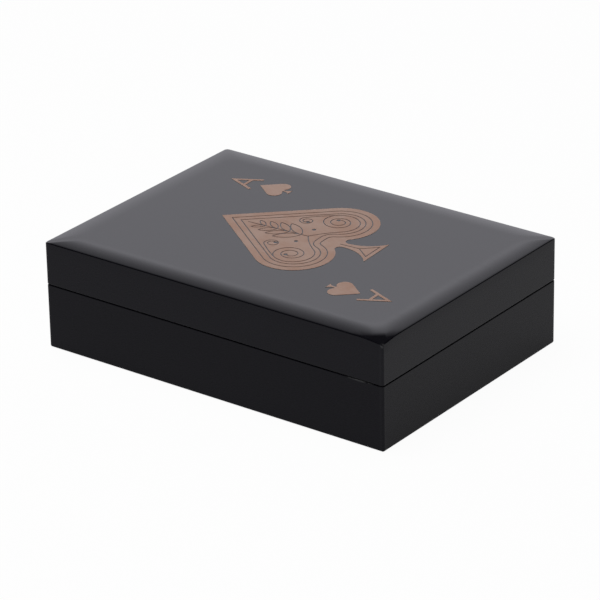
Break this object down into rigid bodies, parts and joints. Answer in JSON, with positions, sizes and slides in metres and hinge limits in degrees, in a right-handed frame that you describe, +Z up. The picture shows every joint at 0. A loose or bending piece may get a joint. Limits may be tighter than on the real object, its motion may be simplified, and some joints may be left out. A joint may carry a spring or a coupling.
{
  "type": "playing card box",
  "caption": "Black lacquered card box with a hinged, crowned lid, two velvet-lined deck wells and copper spade marks on the top.",
  "frame": {"origin": "centre of the underside, on the felt pad's lower face", "axes": "+X along the long front, +Y towards the hinges at the back, +Z up out of the lid"},
  "size_m": [0.17, 0.1239, 0.0487],
  "materials": {
    "black_lacquer": "polished black lacquer on fibreboard",
    "copper_foil": "satin copper foil print",
    "velvet": "black short-pile velvet",
    "felt": "black wool felt",
    "hinge_brass": "polished and lacquered brass",
    "screw_brass": "brushed brass"
  },
  "bodies": {
    "base": {"base_front_wall": "black_lacquer", "base_back_wall": "black_lacquer", "base_left_wall": "black_lacquer", "base_right_wall": "black_lacquer", "base_bottom_panel": "black_lacquer", "base_felt_pad": "felt", "base_front_lining": "velvet", "base_back_lining": "velvet", "base_left_lining": "velvet", "base_right_lining": "velvet", "well_floor_pad_left": "velvet", "well_floor_pad_right": "velvet", "deck_divider": "velvet", "hinge_base_leaf_left": "hinge_brass", "hinge_base_leaf_right": "hinge_brass", "hinge_pin_left": "hinge_brass", "hinge_pin_right": "hinge_brass", "base_leaf_screws": "screw_brass"},
    "lid": {"lid_top_panel": "black_lacquer", "lid_front_rail": "black_lacquer", "lid_back_rail": "black_lacquer", "lid_left_rail": "black_lacquer", "lid_right_rail": "black_lacquer", "lid_ceiling_pad": "velvet", "lid_front_lining": "velvet", "lid_back_lining": "velvet", "lid_left_lining": "velvet", "lid_right_lining": "velvet", "hinge_lid_leaf_left": "hinge_brass", "hinge_lid_leaf_right": "hinge_brass", "lid_leaf_screws": "screw_brass", "spade_foil": "copper_foil", "corner_spade_foils": "copper_foil", "corner_letter_foils": "copper_foil"}
  },
  "joints": [
    {"name": "lid_hinge", "type": "hinge", "parent": "base", "child": "lid", "pos_m": [0, 0.061, 0.0289], "axis": [-1, 0, 0], "range_deg": [0, 95]}
  ]
}
